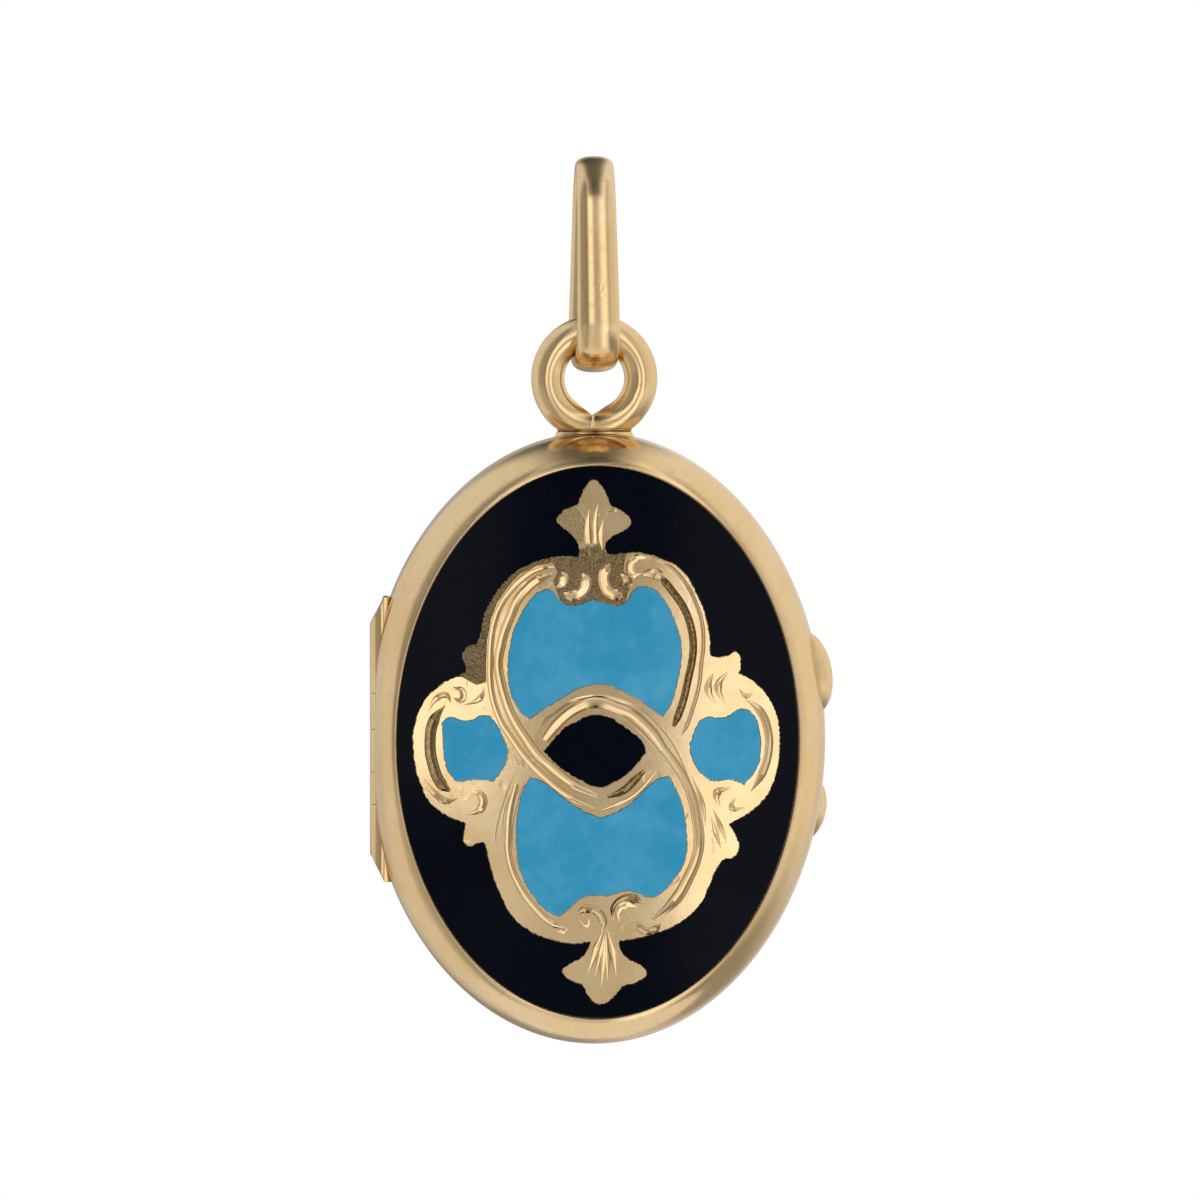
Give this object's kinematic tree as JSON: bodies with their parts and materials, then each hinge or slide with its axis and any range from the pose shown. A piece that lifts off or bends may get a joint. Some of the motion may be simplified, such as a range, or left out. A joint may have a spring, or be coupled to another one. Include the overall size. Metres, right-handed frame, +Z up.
{
  "type": "oval enamelled locket",
  "caption": "Oval hinged gold locket pendant with domed covers, navy and turquoise enamel under a pierced gold scroll cartouche, photograph frames inside, a fixed ring and a swinging bail.",
  "frame": {"origin": "the point inside the top of the bail where a chain bears", "axes": "+Z up along the hanging locket, -Y the enamelled front, -X the hinge side and +X the side of the thumb catches"},
  "size_m": [0.0185, 0.0056, 0.0356],
  "materials": {
    "gold": "polished yellow gold with light wear",
    "navy_enamel": "glossy fired enamel",
    "turquoise_enamel": "glossy opaque fired enamel",
    "crystal": "clear polished glass",
    "photo_paper": "matt toned paper",
    "pad_card": "plain card"
  },
  "bodies": {
    "bail": {"bail": "gold"},
    "case": {"suspension_ring": "gold", "ring_saddle": "gold", "back_cover": "gold", "closing_rim": "gold", "back_bezel": "gold", "back_crystal": "crystal", "back_photo": "photo_paper", "back_pad": "pad_card", "back_thumb_catch": "gold", "hinge_knuckle_1": "gold", "hinge_knuckle_3": "gold", "hinge_knuckle_5": "gold", "hinge_pin": "gold"},
    "cover": {"front_cover": "gold", "gold_cartouche": "gold", "enamel_navy_field": "navy_enamel", "enamel_navy_centre": "navy_enamel", "enamel_turquoise_upper": "turquoise_enamel", "enamel_turquoise_lower": "turquoise_enamel", "enamel_turquoise_left": "turquoise_enamel", "enamel_turquoise_right": "turquoise_enamel", "hinge_knuckle_2": "gold", "hinge_knuckle_4": "gold", "front_bezel": "gold", "front_crystal": "crystal", "front_photo": "photo_paper", "front_pad": "pad_card", "front_thumb_catch": "gold"}
  },
  "joints": [
    {"name": "bail_swing", "type": "hinge", "parent": "bail", "child": "case", "pos_m": [0, 0, -0.00619], "axis": [1, 0, 0], "range_deg": [-105, 105]},
    {"name": "cover_hinge", "type": "hinge", "parent": "case", "child": "cover", "pos_m": [-0.00843, 0, -0.02244], "axis": [0, 0, -1], "range_deg": [0, 130]}
  ]
}
